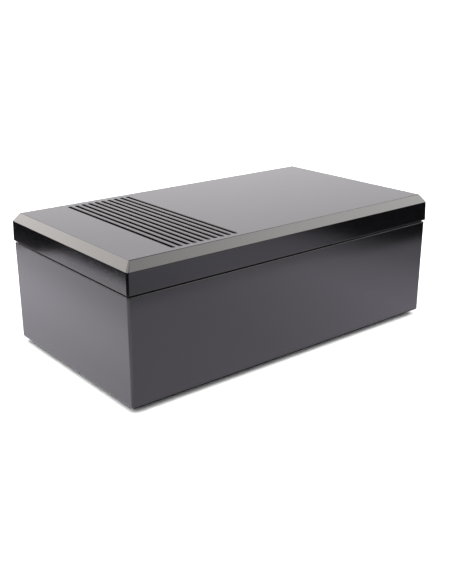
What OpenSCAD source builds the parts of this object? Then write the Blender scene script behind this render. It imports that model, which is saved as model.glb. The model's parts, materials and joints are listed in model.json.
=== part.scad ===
// Flat-bed mains demagnetizer for a watchmaker's bench.
// Origin: on the bench, at the middle of the footprint. +X runs along the case towards the
// push-button end, -Y is the front long side, +Z is up. All sizes are in millimetres.
// Heights in the modules are measured from a datum just below the case, and each part is raised
// from there to its place above the bench when it is drawn.

/* [Case] */
// Length of the case, along X
case_l = 175; // [174:0.5:178]
// Width of the case, along Y
case_w = 96.6; // [96:0.2:100]
// Height of the base shell, from its underside to the seam
base_h = 47; // [46:0.2:48]
// Height of the lid's upright band, from the seam to the chamfer
band_h = 10; // [9.5:0.1:11]
// Height of the lid's chamfer
chamfer_h = 3.8; // [3:0.1:4]
// How far the chamfer runs in from the side
chamfer_in = 3; // [2:0.1:3.4]
// Wall of the base shell
wall = 2.5; // [2.2:0.1:2.6]
// Floor of the base shell
floor_t = 3.4; // [3:0.1:3.6]
// Top of the lid
lid_t = 2.8; // [2.4:0.1:2.9]
// Radius of the upright corners
corner_r = 1.3; // [1:0.1:2]
// How far the lid stands out past the base, all round
lid_lip = 0.35; // [0:0.05:0.5]
// Clearance between the bench and the underside of the case
foot_gap = 2.4; // [1.6:0.1:3.2]

/* [Lid grooves] */
// Number of grooves
groove_count = 10; // [6:1:10]
// Distance from one groove to the next
groove_pitch = 3.52; // [3.2:0.01:3.6]
// Width of a groove
groove_w = 2; // [1.4:0.1:2.2]
// Depth of a groove
groove_d = 1.3; // [0.8:0.1:1.5]
// Length of a groove, over its round ends
groove_l = 84.2; // [70:0.2:85]
// Middle of the grooves' length, from the case's middle line along Y
groove_y = -0.6; // [-1:0.1:1]
// Middle of the first groove, from the case's left end
groove_from_end = 25.7; // [24:0.1:28]

/* [Magnet] */
// Middle of the core along X
core_x = 8; // [7:0.5:9]
// Width of each leg of the core
leg_w = 16; // [15:0.5:16]
// Clear width between the legs
window_w = 34; // [33:0.5:35]
// Thickness of the stack of laminations
stack_t = 28; // [26:1:28]
// Height of the yoke below the legs
yoke_h = 16; // [14:0.5:16]
// Number of laminations drawn in the stack
lamination_count = 28; // [14:1:28]

/* [Controls] */
// Travel of the push-button
button_travel = 2; // [1.5:0.1:2]
// Radius of the push-button's cap
button_r = 5.2; // [5:0.1:5.3]
// Height of the button and the pilot lamp above the datum
control_z = 27; // [26:0.5:28]
// Offset of the pilot lamp from the middle of the end wall
pilot_y = 24; // [22:0.5:25]

/* [Supply] */
// Middle of the inlet and the fuse holder along X
supply_x = -58; // [-59:0.5:-57]
// Height of the inlet above the datum
inlet_z = 16; // [15.5:0.5:17]
// Height of the fuse holder above the datum
fuse_z = 35; // [34.5:0.5:35]

/* [Hidden] */
$fn = 64;

over = 1;       // how far a cut runs past a face
half_l = case_l / 2;
half_w = case_w / 2;
base_z = 0.4;
rise = foot_gap - base_z;
floor_z = base_z + floor_t;
seam_z = base_z + base_h;
chamfer_z = seam_z + band_h;
top_z = chamfer_z + chamfer_h;
ceiling_z = top_z - lid_t;
inner_r = 1;

// Lid: its wall is thicker than the base's, so that a tongue can hang inside the seam
lid_wall = wall + 1;
tongue_gap = 0.2;
tongue_t = 1.6;
tongue_h = 3.8;
tongue_r = 0.5;

// Case screws: up through a post in the base, into a boss in the lid
post_r = 5;
post_inset = 7.1;
post_top_z = seam_z - 4.2;
post_gap = 0.2;
boss_r = 4.2;
seat_z = 26;
seat_r = 3.4;
case_screw_r = 1.75;
case_screw_l = 28;
case_screw_head_r = 3.1;
case_screw_head_h = 2.4;
screw_play = 0.15;
thread_play = 0.03;
boss_bore_z = 56.4;

foot_r = 7;
foot_chamfer = 0.6;
foot_recess = 0.8;
foot_play = 0.2;
foot_x = 66;
foot_y = 34;

plate_l = 56;
plate_w = 24;
plate_t = 0.3;

// Core
core_bottom_z = 9.8;
core_top_z = 57;
leg_x = (window_w + leg_w) / 2;
yoke_top_z = core_bottom_z + yoke_h;
lamination_pitch = stack_t / lamination_count;
lamination_t = lamination_pitch - 0.04;
core_bolt_r = 2;
core_bolt_z = core_bottom_z + yoke_h / 2;
core_bolt_play = 0.15;
nut_h = 3.2;
nut_r = 4.04;
bolt_head_r = 3.5;
bolt_head_h = 2.6;

bracket_t = 1.5;
bracket_l = 62;
bracket_gap = 0.05;
bracket_top_z = yoke_top_z - 1;
bracket_reach = 15;
bracket_hole_x = 24;
bracket_hole_y = 24;
bracket_boss_r = 4.5;
bracket_boss_z = floor_z + 3;
bracket_screw_r = 1.45;
bracket_screw_l = 4.9;
bracket_screw_head_r = 2.8;
bracket_screw_head_h = 2;
bracket_bore_z = 3;

// Coils
bobbin_gap = 0.2;
bobbin_t = 1.2;
flange_t = 1.5;
flange_half_x = 22;
flange_half_y = 27.5;
bobbin_bottom_z = yoke_top_z + bobbin_gap;
bobbin_top_z = core_top_z - bobbin_gap;
winding_half_x = 21.2;
winding_half_y = 26.7;
winding_r = 6;
winding_gap = 0.05;
tape_t = 0.4;
tape_margin = 1.5;
pad_t = 1.2;
cutout_size = [4, 16, 8];
cutout_z = 38;

// Inlet
inlet_flange = [34, 16];
inlet_flange_t = 1.6;
inlet_body = [21.5, 12.6];
inlet_body_l = 15.5;
inlet_play = 0.2;
inlet_mouth = [16.4, 9];
inlet_depth = 13;
inlet_pin_x = 4.3;
inlet_pin_r = 1.18;
inlet_pin_tip = 1;
inlet_pin_tip_r = 0.7;
inlet_pin_taper = 0.6;
inlet_pin_tail = 21;
inlet_screw_x = 13.8;
inlet_screw_r = 1.45;
inlet_screw_head_r = 2.8;
inlet_screw_l = 9.5;
inlet_screw_head_h = 1.35;
inlet_screw_slot = [3.2, 0.7, 1.8];
inlet_sink_h = 1.4;
inlet_nut_r = 3.18;
inlet_nut_h = 2.4;
lug_size = [0.8, 3, 5];

// Fuse holder and its carrier: distances along its axis from the wall's outer face
fuse_flange_r = 8.3;
fuse_flange_t = 1.2;
fuse_barrel_r = 6.3;
fuse_barrel_l = 34;
fuse_cap_r = 5.6;
fuse_cap_bore_r = 5.75;
fuse_cap_back = 8;
fuse_cap_proud = 1.6;
fuse_bore_r = 3.9;
fuse_bore_back = 30;
fuse_nut_r = 9;
fuse_nut_h = 2.3;
fuse_pocket_r = 3.2;
fuse_pocket_front = 3;
fuse_clip_r = 3.1;
fuse_clip_t = 0.42;
fuse_clip_back = 18;
fuse_front = 4;
fuse_l = 20;
fuse_r = 2.6;
fuse_cap_l = 5;
fuse_glass_r = 2.35;
fuse_glass_t = 0.45;
fuse_end_wall = 0.6;
fuse_element_r = 0.15;
contact_play = 0.05;
fuse_tail = 38;
fuse_tail_r = 1;
fuse_tab_y = 16.2;
fuse_tab_reach = 10.5;
fuse_tab_size = [3.2, 0.8];

// Push-button: distances along its axis from the end wall's outer face
bushing_flange_r = 9.5;
bushing_flange_t = 1;
bushing_r = 7;
bushing_back = 16.45;
cap_play = 0.15;
cap_proud = 1.7;
cap_edge = 0.5;
collar_r = 5.9;
collar_front = 4;
collar_back = 5.9;
shoulder = collar_front - 0.1;
button_nut_r = 11;
button_nut_h = 2.5;
plunger_r = 1.5;
bridge_front = 11.65;
bridge_t = 0.6;
bridge_r = 4.2;
rivet_r = 0.8;
rivet_tip = 0.3;
contact_y = 2.8;
contact_r = 0.9;
contact_gap = button_travel + 0.05;
terminal_back = 25.5;
neck_r = 5.95;
neck_front = 15.3;
switch_base_front = bushing_back + 0.05;
switch_base_back = 19.5;
spring_r = 5.3;
spring_wire_r = 0.3;
spring_turns = 5;
spring_steps = 12;

// Pilot lamp, from the end wall's outer face
pilot_flange_r = 6;
pilot_flange_t = 0.9;
pilot_barrel_r = 4.5;
pilot_back = 16;
pilot_bore_r = 3.7;
lens_r = 3.6;
lens_back = 3.5;
lens_dome_r = 8.5;
lens_proud = 1.7;
pilot_nut_r = 7;
pilot_nut_h = 2;
bulb_r = 2.9;
bulb_t = 0.6;
bulb_back = 14;
bulb_front = 7.6;
electrode_r = 0.3;
electrode_y = 1.1;
electrode_front = 8;
electrode_back = 20;
resistor_r = 1.1;
resistor_l = 6.5;

// Inner wires. Each route is a short list of points, and its corners are then cut
wire_r = 1;
wire_sides = 8;
inlet_fuse_route = [[-62.3, 24.8, 16], [-62.3, 12, 16], [-60, 3, 24], [-58, 3, 35], [-58, 10.3, 35]];
fuse_switch_route = [
    [-47.5, 31.7, 35], [-42, 31.7, 35], [-10, 38, 30], [35, 38, 30],
    [55, 33, 31], [59, 16, 32], [57.5, 2.8, 27], [62, 2.8, 27]
];
switch_cutout_route = [
    [62, -2.8, 27], [57.5, -2.8, 27], [58, -12, 31], [57.5, -17, 40], [56.75, -14, 42], [56.75, -8, 42]
];
cutout_coil_route = [[56.75, 8, 42], [56.75, 13, 42], [58.5, 16, 46], [58.5, 16, 51], [54.7, 16, 51]];
coil_link_route = [[-6, -27.2, 48], [-6, -32, 48], [8, -33, 46], [22, -32, 48], [22, -27.2, 48]];
neutral_route = [
    [-53.7, 24.8, 16], [-53.7, 12, 16], [-50, 0, 18], [-45, -10, 30], [-43, -11, 49], [-38.7, -11, 49]
];
pilot_live_route = [[61, 22.9, 27], [57.5, 22.9, 27], [59, 10, 20], [63.5, -2.8, 19], [63.5, -2.8, 25.4]];
pilot_neutral_route = [
    [67.5, 25.1, 27], [65, 25.1, 27], [60, 29, 26.5], [52, 38, 27.8], [35, 38, 27.8],
    [-10, 38, 27.8], [-44, 28, 17], [-48, 26.2, 16], [-53.3, 26.2, 16]
];
tie_places = [6, 19];
tie_w = 2.5;
tie_t = 0.9;
tie_y = 38;
tie_z = 28.9;
tie_inner = [2.2, 4.4];
tie_head = [3, 2.4, 3];

plastic = [0.09, 0.09, 0.09];
steel = [0.62, 0.63, 0.65];
brass = [0.78, 0.64, 0.34];

// ---------- shared shapes ----------

module rounded(l, w, r) {
    square([l - 2 * r, w], center = true);
    square([l, w - 2 * r], center = true);
    for (x = [-1, 1], y = [-1, 1])
        translate([x * (l / 2 - r), y * (w / 2 - r)]) circle(r);
}

module slot(w, l) {
    square([w, l - w], center = true);
    for (y = [-1, 1]) translate([0, y * (l - w) / 2]) circle(w / 2);
}

module block(l, w, r, z_low, z_high) {
    translate([0, 0, z_low]) linear_extrude(z_high - z_low) rounded(l, w, r);
}

module post(r, z_low, z_high) {
    translate([0, 0, z_low]) cylinder(r = r, h = z_high - z_low);
}

module tube(r, bore, z_low, z_high) {
    difference() {
        post(r, z_low, z_high);
        post(bore, z_low - over, z_high + over);
    }
}

module hex_nut(r, bore, z_low, z_high) {
    difference() {
        translate([0, 0, z_low]) cylinder(r = r, h = z_high - z_low, $fn = 6);
        post(bore, z_low - over, z_high + over);
    }
}

// Pan-head screw with a cross recess, its head's seat at z = 0 and its shank along +Z
module pan_screw(r, l, head_r, head_h) {
    difference() {
        union() {
            post(r, 0, l);
            post(head_r, -head_h, 0);
        }
        for (turn = [0, 90])
            rotate(turn) translate([0, 0, -head_h])
                cube([head_r * 1.2, head_r * 0.28, head_h], center = true);
    }
}

module at_corners(x, y) {
    for (i = [-1, 1], j = [-1, 1]) translate([i * x, j * y, 0]) children();
}

// Places a child on the back wall or the end wall: z = 0 is the wall's outer face, +Z outwards
module at_back(z) {
    translate([supply_x, half_w, z]) rotate([-90, 0, 0]) children();
}

module at_end(y) {
    translate([half_l, y, control_z]) rotate([0, 90, 0]) children();
}

module at_leg(side) {
    translate([core_x + side * leg_x, 0, 0]) children();
}

function unit(v) = v / norm(v);

// Cuts each inner corner of a route once, and keeps its two ends
function cut_corners(p) = [
    p[0],
    for (i = [0 : len(p) - 2]) each [
        if (i > 0) 0.75 * p[i] + 0.25 * p[i + 1],
        if (i < len(p) - 2) 0.25 * p[i] + 0.75 * p[i + 1]
    ],
    p[len(p) - 1]
];

function heading(p, i) = unit(p[min(i + 1, len(p) - 1)] - p[max(i - 1, 0)]);

// The sideways direction of each ring, carried along the route so that the tube doesn't twist
function sideways(p, i) =
    i == 0
    ? unit(cross(heading(p, 0), abs(heading(p, 0)[2]) < 0.9 ? [0, 0, 1] : [1, 0, 0]))
    : let (before = sideways(p, i - 1), along = heading(p, i)) unit(before - (before * along) * along);

module sweep(p, r, sides) {
    last = len(p) - 1;
    points = [
        for (i = [0 : last])
            let (across = sideways(p, i), up = cross(heading(p, i), across))
            for (k = [0 : sides - 1])
                p[i] + r * (cos(360 * k / sides) * across + sin(360 * k / sides) * up)
    ];
    walls = [
        for (i = [0 : last - 1], k = [0 : sides - 1])
            let (a = i * sides + k, b = i * sides + (k + 1) % sides)
            each [[a, b + sides, b], [a, a + sides, b + sides]]
    ];
    first_end = [for (k = [0 : sides - 1]) k];
    last_end = [for (k = [sides - 1 : -1 : 0]) last * sides + k];
    polyhedron(points, concat(walls, [first_end, last_end]));
}

module wire(route) {
    sweep(cut_corners(route), wire_r, wire_sides);
}

module raised() translate([0, 0, rise]) children();

// ---------- case ----------

module base_shell() color(plastic)
difference() {
    union() {
        difference() {
            block(case_l, case_w, corner_r, base_z, seam_z);
            block(case_l - 2 * wall, case_w - 2 * wall, inner_r, floor_z, seam_z + over);
        }
        at_corners(half_l - post_inset, half_w - post_inset) post(post_r, base_z, post_top_z);
        translate([core_x, 0, 0])
            at_corners(bracket_hole_x, bracket_hole_y) post(bracket_boss_r, base_z, bracket_boss_z);
    }
    at_corners(half_l - post_inset, half_w - post_inset) {
        post(seat_r, base_z - over, seat_z);
        post(case_screw_r + screw_play, base_z, post_top_z + over);
    }
    translate([core_x, 0, 0])
        at_corners(bracket_hole_x, bracket_hole_y)
            post(bracket_screw_r + thread_play, bracket_bore_z, bracket_boss_z + over);
    at_corners(foot_x, foot_y) post(foot_r + foot_play, base_z - over, base_z + foot_recess);
    block(plate_l + 2 * foot_play, plate_w + 2 * foot_play, 1, base_z - over, base_z + plate_t);
    at_back(inlet_z) {
        block(inlet_body[0] + 2 * inlet_play, inlet_body[1] + 2 * inlet_play, 1, -wall - over, over);
        for (x = [-1, 1]) translate([x * inlet_screw_x, 0, 0])
            post(inlet_screw_r + screw_play, -wall - over, over);
    }
    at_back(fuse_z) post(fuse_barrel_r + inlet_play, -wall - over, over);
    at_end(0) post(bushing_r + 0.1, -wall - over, over);
    at_end(pilot_y) post(pilot_barrel_r + 0.1, -wall - over, over);
}

// Side view of the lid's outside, as far across as its half width
module lid_profile(half) {
    polygon([
        [-half, seam_z], [half, seam_z], [half, chamfer_z],
        [half - chamfer_in, top_z], [chamfer_in - half, top_z], [-half, chamfer_z]
    ]);
}

module lid_outside() {
    intersection() {
        block(case_l + 2 * lid_lip, case_w + 2 * lid_lip, corner_r, seam_z, top_z);
        rotate([90, 0, 0])
            linear_extrude(case_w + 2 * over, center = true) lid_profile(half_l + lid_lip);
        rotate([90, 0, 90])
            linear_extrude(case_l + 2 * over, center = true) lid_profile(half_w + lid_lip);
    }
}

module lid_shell() color(plastic)
difference() {
    union() {
        difference() {
            lid_outside();
            block(case_l - 2 * lid_wall, case_w - 2 * lid_wall, inner_r, seam_z - over, ceiling_z);
        }
        difference() {
            tongue_out = 2 * (wall + tongue_gap);
            tongue_in = tongue_out + 2 * tongue_t;
            block(case_l - tongue_out, case_w - tongue_out, inner_r, seam_z - tongue_h, seam_z + over);
            block(case_l - tongue_in, case_w - tongue_in, tongue_r,
                  seam_z - tongue_h - over, seam_z + 2 * over);
        }
        at_corners(half_l - post_inset, half_w - post_inset)
            post(boss_r, post_top_z + post_gap, ceiling_z + over);
    }
    at_corners(half_l - post_inset, half_w - post_inset)
        post(case_screw_r + thread_play, post_top_z, boss_bore_z);
    for (i = [0 : groove_count - 1])
        translate([groove_from_end - half_l + i * groove_pitch, groove_y, top_z - groove_d])
            linear_extrude(groove_d + over) slot(groove_w, groove_l);
}

module rubber_feet() color([0.14, 0.14, 0.14])
at_corners(foot_x, foot_y) {
    post(foot_r, foot_chamfer - rise, base_z + foot_recess);
    translate([0, 0, -rise]) cylinder(r1 = foot_r - foot_chamfer, r2 = foot_r, h = foot_chamfer);
}

module case_screws() color(steel)
at_corners(half_l - post_inset, half_w - post_inset)
    translate([0, 0, seat_z])
        pan_screw(case_screw_r, case_screw_l, case_screw_head_r, case_screw_head_h);

module rating_plate() color([0.75, 0.75, 0.74])
block(plate_l, plate_w, 1, base_z, base_z + plate_t);

// ---------- magnet ----------

module lamination() {
    difference() {
        square([window_w + 2 * leg_w, core_top_z - core_bottom_z]);
        translate([leg_w, yoke_h]) square([window_w, core_top_z]);
        for (x = [leg_w / 2, leg_w * 1.5 + window_w])
            translate([x, yoke_h / 2]) circle(core_bolt_r + core_bolt_play);
    }
}

module core_laminations() color([0.45, 0.46, 0.48])
for (i = [0 : lamination_count - 1])
    translate([core_x - leg_x - leg_w / 2, lamination_t - stack_t / 2 + i * lamination_pitch,
               core_bottom_z])
        rotate([90, 0, 0]) linear_extrude(lamination_t) lamination();

// One angle bracket, on the +Y side of the core
module bracket() {
    face_y = stack_t / 2 + bracket_gap;
    difference() {
        translate([core_x - bracket_l / 2, face_y, bracket_boss_z]) {
            cube([bracket_l, bracket_t, bracket_top_z - bracket_boss_z]);
            cube([bracket_l, bracket_reach, bracket_t]);
        }
        for (side = [-1, 1]) {
            at_leg(side) translate([0, face_y - over, core_bolt_z]) rotate([-90, 0, 0])
                post(core_bolt_r + core_bolt_play, 0, bracket_t + 2 * over);
            translate([core_x + side * bracket_hole_x, bracket_hole_y, 0])
                post(bracket_screw_r + screw_play, bracket_boss_z - over,
                     bracket_boss_z + bracket_t + over);
        }
    }
}

module core_bracket_front() color(steel) mirror([0, 1, 0]) bracket();

module core_bracket_rear() color(steel) bracket();

module core_bolts() color(steel)
for (side = [-1, 1]) at_leg(side)
    translate([0, -stack_t / 2 - bracket_gap - bracket_t, core_bolt_z]) rotate([-90, 0, 0])
        pan_screw(core_bolt_r, stack_t + 2 * (bracket_t + bracket_gap) + nut_h + over,
                  bolt_head_r, bolt_head_h);

module core_nuts() color(brass)
for (side = [-1, 1]) at_leg(side)
    translate([0, stack_t / 2 + bracket_gap + bracket_t, core_bolt_z]) rotate([-90, 0, 0])
        hex_nut(nut_r, core_bolt_r + thread_play, 0, nut_h);

module bracket_screws() color(steel)
translate([core_x, 0, 0]) at_corners(bracket_hole_x, bracket_hole_y)
    translate([0, 0, bracket_boss_z + bracket_t]) mirror([0, 0, 1])
        pan_screw(bracket_screw_r, bracket_screw_l, bracket_screw_head_r, bracket_screw_head_h);

module bobbin(side) {
    bore = [leg_w + 2 * bobbin_gap, stack_t + 2 * bobbin_gap];
    at_leg(side) difference() {
        union() {
            block(bore[0] + 2 * bobbin_t, bore[1] + 2 * bobbin_t, 1, bobbin_bottom_z, bobbin_top_z);
            for (z = [bobbin_bottom_z, bobbin_top_z - flange_t])
                block(2 * flange_half_x, 2 * flange_half_y, 2, z, z + flange_t);
        }
        translate([-bore[0] / 2, -bore[1] / 2, bobbin_bottom_z - over])
            cube([bore[0], bore[1], bobbin_top_z - bobbin_bottom_z + 2 * over]);
    }
}

module bobbin_left() color([0.86, 0.84, 0.78]) bobbin(-1);

module bobbin_right() color([0.86, 0.84, 0.78]) bobbin(1);

module winding(side) {
    inner_x = leg_w + 2 * (bobbin_gap + bobbin_t + winding_gap);
    inner_y = stack_t + 2 * (bobbin_gap + bobbin_t + winding_gap);
    low = bobbin_bottom_z + flange_t + winding_gap;
    high = bobbin_top_z - flange_t - winding_gap;
    at_leg(side) difference() {
        block(2 * winding_half_x, 2 * winding_half_y, winding_r, low, high);
        block(inner_x, inner_y, 1, low - over, high + over);
    }
}

module winding_left() color([0.62, 0.27, 0.12]) winding(-1);

module winding_right() color([0.62, 0.27, 0.12]) winding(1);

module winding_tape(side) {
    inner = winding_gap;
    outer = inner + tape_t;
    low = bobbin_bottom_z + flange_t + tape_margin;
    high = bobbin_top_z - flange_t - tape_margin;
    at_leg(side) difference() {
        block(2 * (winding_half_x + outer), 2 * (winding_half_y + outer), winding_r + outer, low, high);
        block(2 * (winding_half_x + inner), 2 * (winding_half_y + inner), winding_r + inner,
              low - over, high + over);
    }
}

module winding_tape_left() color([0.85, 0.75, 0.3]) winding_tape(-1);

module winding_tape_right() color([0.85, 0.75, 0.3]) winding_tape(1);

module pole_pads() color([0.2, 0.2, 0.2])
for (side = [-1, 1]) at_leg(side) block(leg_w, stack_t, 1, core_top_z, core_top_z + pad_t);

module thermal_cutout() color([0.9, 0.9, 0.88])
translate([
    core_x + leg_x + winding_half_x + winding_gap + tape_t + contact_play,
    -cutout_size[1] / 2, cutout_z
]) cube(cutout_size);

// ---------- mains inlet ----------

module inlet_housing() color([0.12, 0.12, 0.12])
at_back(inlet_z) difference() {
    union() {
        block(inlet_flange[0], inlet_flange[1], 2, 0, inlet_flange_t);
        block(inlet_body[0], inlet_body[1], 1, -inlet_body_l, 0);
    }
    translate([0, 0, inlet_flange_t - inlet_depth])
        linear_extrude(inlet_depth + over) rotate(90) slot(inlet_mouth[1], inlet_mouth[0]);
    for (x = [-1, 1]) {
        translate([x * inlet_pin_x, 0, 0])
            post(inlet_pin_r + thread_play, -inlet_body_l - over, inlet_flange_t - inlet_depth + over);
        translate([x * inlet_screw_x, 0, 0]) {
            post(inlet_screw_r + screw_play, -over, inlet_flange_t + over);
            translate([0, 0, inlet_flange_t - inlet_sink_h])
                cylinder(r1 = inlet_screw_r + screw_play, r2 = inlet_screw_head_r + screw_play,
                         h = inlet_sink_h);
        }
    }
}

module inlet_pins() color(brass)
at_back(inlet_z) for (x = [-1, 1]) translate([x * inlet_pin_x, 0, 0]) {
    post(inlet_pin_r, -inlet_pin_tail, -inlet_pin_tip - inlet_pin_taper);
    translate([0, 0, -inlet_pin_tip - inlet_pin_taper])
        cylinder(r1 = inlet_pin_r, r2 = inlet_pin_tip_r, h = inlet_pin_taper);
    translate([-lug_size[0] / 2, -lug_size[1] / 2, -inlet_pin_tail - lug_size[2] / 2]) cube(lug_size);
}

module inlet_screws() color(steel)
at_back(inlet_z) for (x = [-1, 1]) translate([x * inlet_screw_x, 0, 0]) difference() {
    union() {
        post(inlet_screw_r, inlet_flange_t - inlet_screw_l, inlet_flange_t - inlet_screw_head_h);
        translate([0, 0, inlet_flange_t - inlet_screw_head_h])
            cylinder(r1 = inlet_screw_r, r2 = inlet_screw_head_r, h = inlet_screw_head_h);
    }
    for (turn = [45, 135])
        rotate(turn) translate([0, 0, inlet_flange_t]) cube(inlet_screw_slot, center = true);
}

module inlet_nuts() color(steel)
at_back(inlet_z) for (x = [-1, 1]) translate([x * inlet_screw_x, 0, 0]) rotate(30)
    hex_nut(inlet_nut_r, inlet_screw_r + thread_play, -wall - inlet_nut_h, -wall);

// ---------- fuse holder ----------

module fuse_holder() color([0.1, 0.1, 0.1])
at_back(fuse_z) difference() {
    union() {
        post(fuse_flange_r, 0, fuse_flange_t);
        post(fuse_barrel_r, -fuse_barrel_l, 0);
    }
    post(fuse_cap_bore_r, -fuse_cap_back, fuse_flange_t + over);
    post(fuse_bore_r, -fuse_bore_back, 0);
    post(fuse_tail_r + contact_play, -fuse_barrel_l - over, -fuse_bore_back + over);
    translate([0, -fuse_tab_size[0] / 2 - contact_play, -fuse_tab_y - fuse_tab_size[1] - contact_play])
        cube([fuse_barrel_r + over, fuse_tab_size[0] + 2 * contact_play,
              fuse_tab_size[1] + 2 * contact_play]);
}

module fuse_holder_nut() color([0.16, 0.16, 0.16])
at_back(fuse_z) hex_nut(fuse_nut_r, fuse_barrel_r + thread_play, -wall - fuse_nut_h, -wall);

module fuse_end_terminal() color(brass)
at_back(fuse_z) {
    post(fuse_r, -fuse_bore_back, -fuse_front - fuse_l - contact_play);
    post(fuse_tail_r, -fuse_tail, -fuse_bore_back);
}

module fuse_side_terminal() color(brass)
at_back(fuse_z)
    translate([fuse_clip_r + contact_play, -fuse_tab_size[0] / 2, -fuse_tab_y - fuse_tab_size[1]])
        cube([fuse_tab_reach - fuse_clip_r - contact_play, fuse_tab_size[0], fuse_tab_size[1]]);

module fuse_cap() color([0.1, 0.1, 0.1])
at_back(fuse_z) difference() {
    union() {
        post(fuse_cap_r, -fuse_cap_back + 0.1, fuse_cap_proud - 0.5);
        translate([0, 0, fuse_cap_proud - 0.5]) cylinder(r1 = fuse_cap_r, r2 = fuse_cap_r - 0.5, h = 0.5);
    }
    post(fuse_pocket_r, -fuse_cap_back, -fuse_pocket_front);
    translate([0, 0, fuse_cap_proud]) cube([2 * fuse_cap_r - 2.4, 1.3, 2], center = true);
}

module fuse_clip() color(steel)
at_back(fuse_z)
    tube(fuse_clip_r, fuse_clip_r - fuse_clip_t, -fuse_clip_back, -fuse_pocket_front - 0.1);

module fuse_glass() color([0.8, 0.85, 0.85, 0.5])
at_back(fuse_z)
    tube(fuse_glass_r, fuse_glass_r - fuse_glass_t,
         -fuse_front - fuse_l + fuse_end_wall, -fuse_front - fuse_end_wall);

module fuse_end_caps() color(steel)
at_back(fuse_z) for (place = [0, 1]) {
    low = -fuse_front - fuse_cap_l - place * (fuse_l - fuse_cap_l);
    pocket = place == 1 ? low + fuse_end_wall : low - over;
    difference() {
        post(fuse_r, low, low + fuse_cap_l);
        post(fuse_glass_r + contact_play, pocket, pocket + fuse_cap_l + over - fuse_end_wall);
    }
}

module fuse_element() color(steel)
at_back(fuse_z)
    post(fuse_element_r, -fuse_front - fuse_l + fuse_end_wall, -fuse_front - fuse_end_wall);

// ---------- push-button switch ----------

module button_bushing() color([0.13, 0.13, 0.13])
at_end(0) difference() {
    union() {
        post(bushing_flange_r, 0, bushing_flange_t - 0.4);
        translate([0, 0, bushing_flange_t - 0.4])
            cylinder(r1 = bushing_flange_r, r2 = bushing_flange_r - 0.4, h = 0.4);
        post(bushing_r, -bushing_back, 0);
    }
    post(button_r + cap_play, -shoulder - over, bushing_flange_t + over);
    post(collar_r + cap_play, -bushing_back - over, -shoulder);
}

module button_nut() color(steel)
at_end(0) hex_nut(button_nut_r, bushing_r + thread_play, -wall - button_nut_h, -wall);

module button_cap() color([0.6, 0.08, 0.06])
at_end(0) {
    post(collar_r, -collar_back, -collar_front);
    post(button_r, -collar_front, cap_proud - cap_edge);
    translate([0, 0, cap_proud - cap_edge])
        cylinder(r1 = button_r, r2 = button_r - cap_edge, h = cap_edge);
}

module button_plunger() color([0.85, 0.85, 0.82])
at_end(0) {
    post(plunger_r, -bridge_front, -collar_back);
    post(rivet_r, -bridge_front - bridge_t - rivet_tip, -bridge_front);
}

module button_spring() color(steel)
at_end(0) {
    low = -neck_front + spring_wire_r + contact_play;
    rise = neck_front - collar_back - 2 * (spring_wire_r + contact_play);
    steps = spring_turns * spring_steps;
    sweep([
        for (i = [0 : steps])
            [spring_r * cos(360 * i / spring_steps), spring_r * sin(360 * i / spring_steps),
             low + rise * i / steps]
    ], spring_wire_r, 6);
}

module contact_bridge() color(brass)
at_end(0) tube(bridge_r, rivet_r + contact_play, -bridge_front - bridge_t, -bridge_front);

module switch_base() color([0.35, 0.2, 0.12])
at_end(0) difference() {
    union() {
        post(bushing_r, -switch_base_back, -switch_base_front);
        post(neck_r, -switch_base_front, -neck_front);
    }
    for (y = [-1, 1]) translate([0, y * contact_y, 0])
        post(contact_r + contact_play, -switch_base_back - over, 0);
}

module switch_terminals() color(brass)
at_end(0) for (y = [-1, 1]) translate([0, y * contact_y, 0]) {
    post(contact_r, -terminal_back, -bridge_front - bridge_t - contact_gap);
    translate([-lug_size[1] / 2, -lug_size[0] / 2, -terminal_back])
        cube([lug_size[1], lug_size[0], lug_size[2]]);
}

// ---------- pilot lamp ----------

module pilot_bezel() color(steel)
at_end(pilot_y) difference() {
    union() {
        post(pilot_flange_r, 0, pilot_flange_t - 0.3);
        translate([0, 0, pilot_flange_t - 0.3])
            cylinder(r1 = pilot_flange_r, r2 = pilot_flange_r - 0.3, h = 0.3);
        post(pilot_barrel_r, -pilot_back, 0);
    }
    post(pilot_bore_r, -pilot_back - over, pilot_flange_t + over);
}

module pilot_nut() color(steel)
at_end(pilot_y) hex_nut(pilot_nut_r, pilot_barrel_r + thread_play, -wall - pilot_nut_h, -wall);

module pilot_lens() color([0.9, 0.25, 0.1, 0.8])
at_end(pilot_y) intersection() {
    post(lens_r, -lens_back, lens_proud);
    translate([0, 0, lens_proud - lens_dome_r]) sphere(lens_dome_r, $fn = 96);
}

module bulb_solid(r, back) {
    post(r, -back, -bulb_front);
    translate([0, 0, -bulb_front]) sphere(r);
}

module neon_bulb() color([0.9, 0.9, 0.88, 0.5])
at_end(pilot_y) difference() {
    bulb_solid(bulb_r, bulb_back);
    bulb_solid(bulb_r - bulb_t, bulb_back - 1);
    for (y = [-1, 1]) translate([0, y * electrode_y, 0])
        post(electrode_r + thread_play, -bulb_back - over, -bulb_back + over + 0.5);
}

module neon_electrodes() color(steel)
at_end(pilot_y) for (y = [-1, 1]) translate([0, y * electrode_y, 0])
    post(electrode_r, -electrode_back, -electrode_front);

module ballast_resistor() color([0.8, 0.68, 0.5])
at_end(pilot_y) translate([0, -electrode_y, 0])
    post(resistor_r, -electrode_back - resistor_l, -electrode_back);

// ---------- wiring ----------

module inlet_fuse_wire() color([0.4, 0.22, 0.1]) wire(inlet_fuse_route);

module fuse_switch_wire() color([0.4, 0.22, 0.1]) wire(fuse_switch_route);

module switch_cutout_wire() color([0.4, 0.22, 0.1]) wire(switch_cutout_route);

module cutout_coil_wire() color([0.85, 0.85, 0.82]) wire(cutout_coil_route);

module coil_link_wire() color([0.85, 0.85, 0.82]) wire(coil_link_route);

module neutral_wire() color([0.1, 0.25, 0.6]) wire(neutral_route);

module pilot_live_wire() color([0.4, 0.22, 0.1]) wire(pilot_live_route);

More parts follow.
